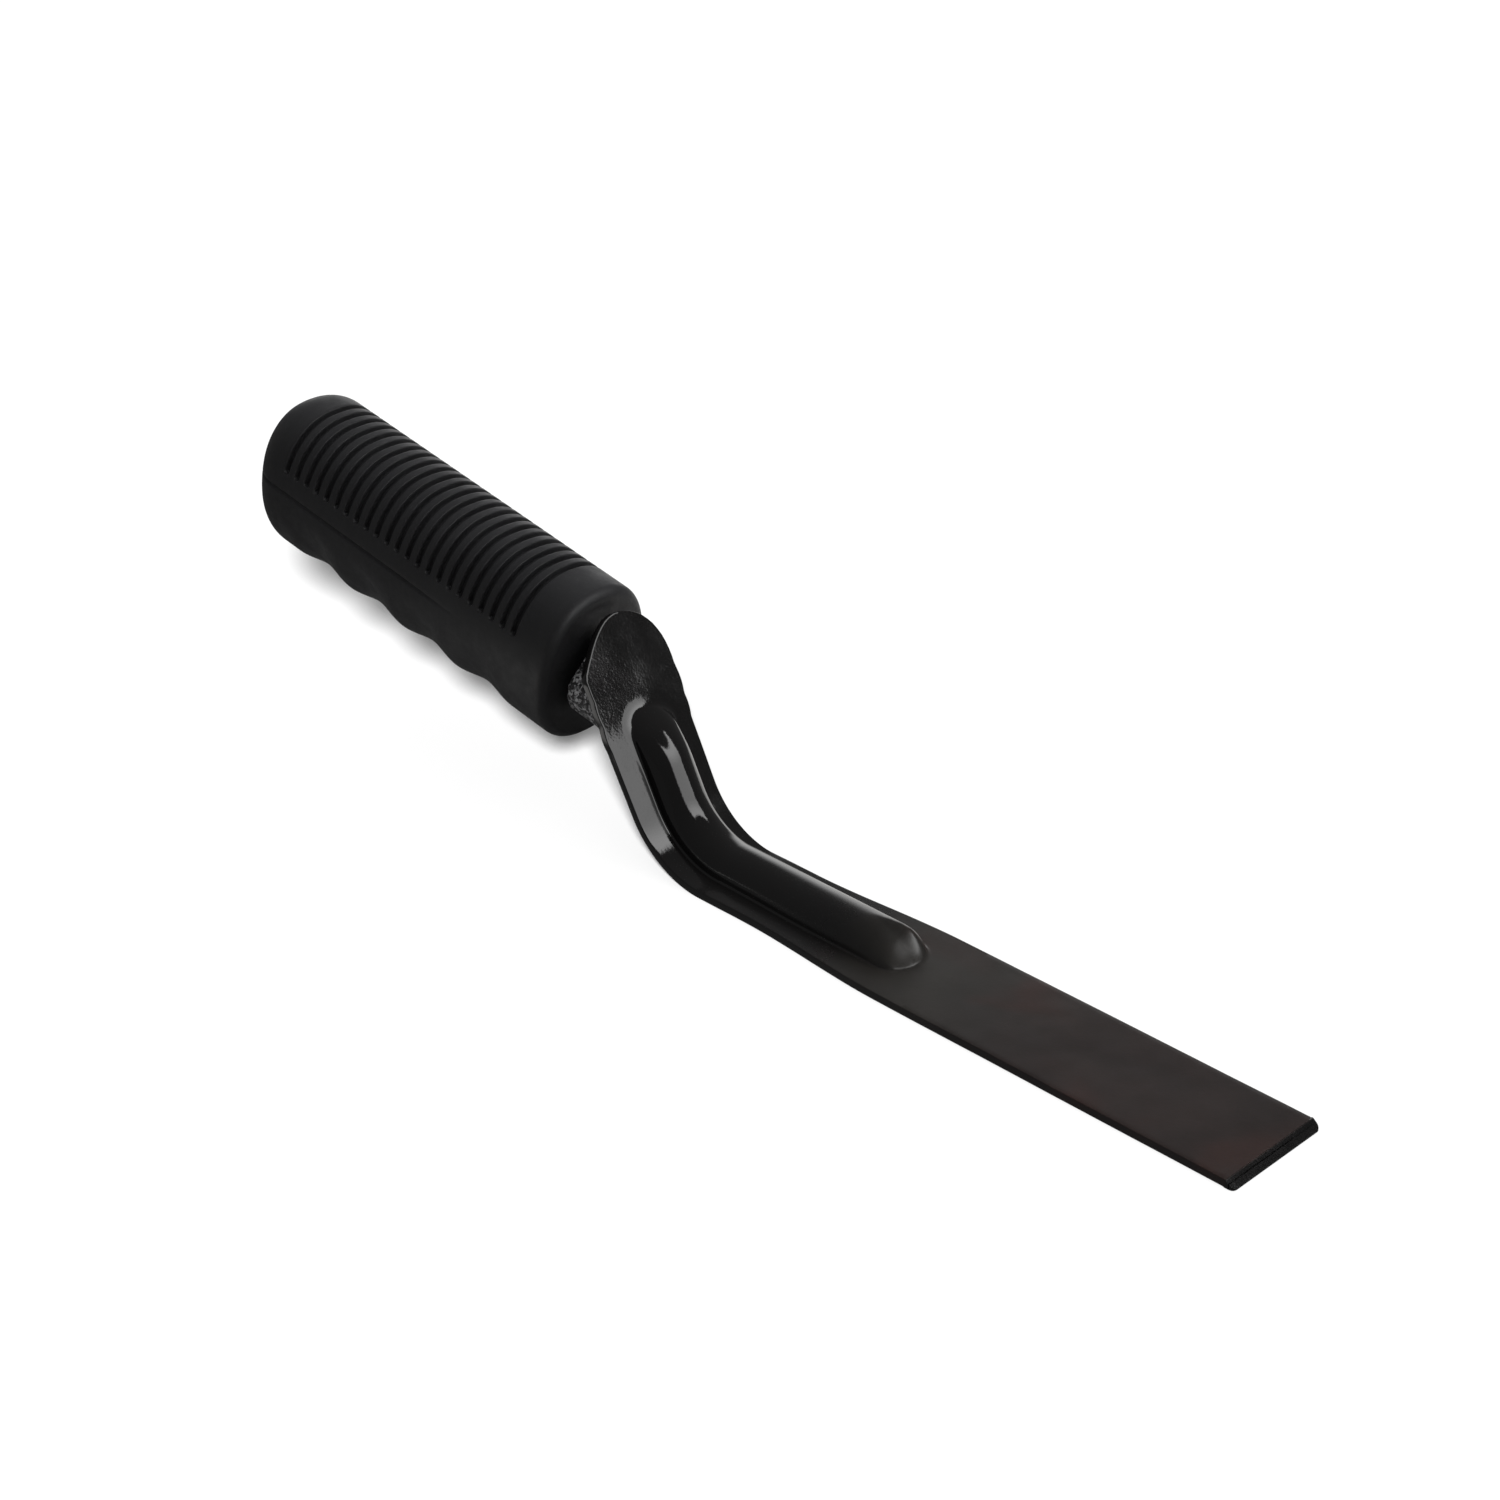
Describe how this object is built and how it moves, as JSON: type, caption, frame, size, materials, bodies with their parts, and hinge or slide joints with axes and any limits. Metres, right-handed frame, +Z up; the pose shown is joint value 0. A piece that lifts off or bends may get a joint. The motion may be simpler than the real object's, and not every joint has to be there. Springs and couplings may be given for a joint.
{
  "type": "hand grub hoe",
  "caption": "Short hand hoe: a cranked pressed-steel blade with a stiffening rib, welded to a steel tang inside a grooved moulded grip.",
  "frame": {"origin": "middle of the parallel stretch of the blade's flat underside, the face the tool rests on", "axes": "+X along the blade towards the cutting edge, +Z up from the underside of the blade, Y=0 the plane of symmetry"},
  "size_m": [0.3172, 0.0335, 0.078],
  "materials": {
    "blade_enamel": "gloss black enamel on pressed steel",
    "weld_enamel": "rough weld metal under thin black enamel",
    "tang_steel": "round steel bar, black enamel where it shows",
    "grip_plastic": "fine matt mould texture"
  },
  "bodies": {
    "root": {"blade": "blade_enamel", "weld_bead": "weld_enamel", "tang": "tang_steel", "grip": "grip_plastic"}
  },
  "joints": []
}
